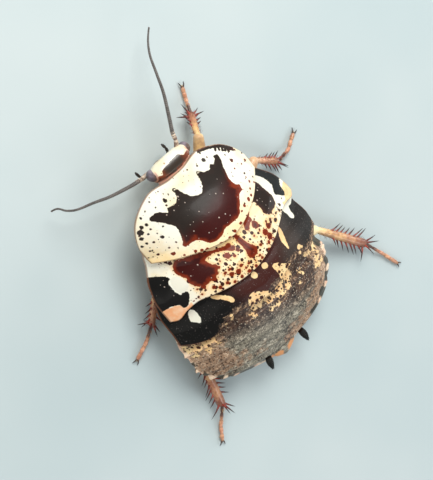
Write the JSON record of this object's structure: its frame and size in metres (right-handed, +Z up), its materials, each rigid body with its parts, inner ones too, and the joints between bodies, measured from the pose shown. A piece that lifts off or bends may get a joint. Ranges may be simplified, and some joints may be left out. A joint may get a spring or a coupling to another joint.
{
  "type": "porcelain roach nymph",
  "caption": "Life-size still model of a wingless porcelain roach nymph standing on the floor, domed spotted back plates, spined legs and thread feelers.",
  "frame": {"origin": "bottom centre of the whole model's box, on the floor", "axes": "+Z up, the animal's head toward -Y, its left side toward +X"},
  "size_m": [0.037, 0.0482, 0.0112],
  "materials": {
    "cream_cuticle": "glossy cream cuticle with dark red-brown blotches and fine dark dots",
    "dark_cuticle": "glossy dark red-brown cuticle with cream marks",
    "abdomen_cuticle": "satin grey-brown cuticle, finely speckled and streaked, dark and orange marks on the rim",
    "eye": "glossy purple-grey faceted eye",
    "antenna_base": "pale cuticle with dark rings",
    "antenna": "grey-brown ringed feeler",
    "leg_cuticle": "amber and red-brown cuticle with darker spines",
    "underside_cuticle": "satin tan-brown cuticle"
  },
  "bodies": {
    "root": {"abdomen_1": "abdomen_cuticle", "abdomen_2": "abdomen_cuticle", "abdomen_3": "abdomen_cuticle", "abdomen_4": "abdomen_cuticle", "abdomen_5": "abdomen_cuticle", "abdomen_6": "abdomen_cuticle", "abdomen_tip": "abdomen_cuticle", "antenna_base_left": "antenna_base", "antenna_base_right": "antenna_base", "antenna_left": "antenna", "antenna_right": "antenna", "cercus_left": "dark_cuticle", "cercus_right": "dark_cuticle", "coxa_front_left": "underside_cuticle", "coxa_front_right": "underside_cuticle", "coxa_hind_left": "underside_cuticle", "coxa_hind_right": "underside_cuticle", "coxa_middle_left": "underside_cuticle", "coxa_middle_right": "underside_cuticle", "eye_left": "eye", "eye_right": "eye", "femur_front_left": "leg_cuticle", "femur_front_right": "leg_cuticle", "femur_hind_left": "leg_cuticle", "femur_hind_right": "leg_cuticle", "femur_middle_left": "leg_cuticle", "femur_middle_right": "leg_cuticle", "head": "cream_cuticle", "labium": "underside_cuticle", "labrum": "leg_cuticle", "mandible_left": "dark_cuticle", "mandible_right": "dark_cuticle", "mesonotum": "cream_cuticle", "mesothorax": "underside_cuticle", "metanotum": "dark_cuticle", "metathorax": "underside_cuticle", "neck": "underside_cuticle", "palp_left": "leg_cuticle", "palp_right": "leg_cuticle", "pronotum": "cream_cuticle", "prothorax": "underside_cuticle", "supra_anal_plate": "abdomen_cuticle", "tarsus_front_left": "leg_cuticle", "tarsus_front_right": "leg_cuticle", "tarsus_hind_left": "leg_cuticle", "tarsus_hind_right": "leg_cuticle", "tarsus_middle_left": "leg_cuticle", "tarsus_middle_right": "leg_cuticle", "tibia_front_left": "leg_cuticle", "tibia_front_right": "leg_cuticle", "tibia_hind_left": "leg_cuticle", "tibia_hind_right": "leg_cuticle", "tibia_middle_left": "leg_cuticle", "tibia_middle_right": "leg_cuticle"}
  },
  "joints": []
}
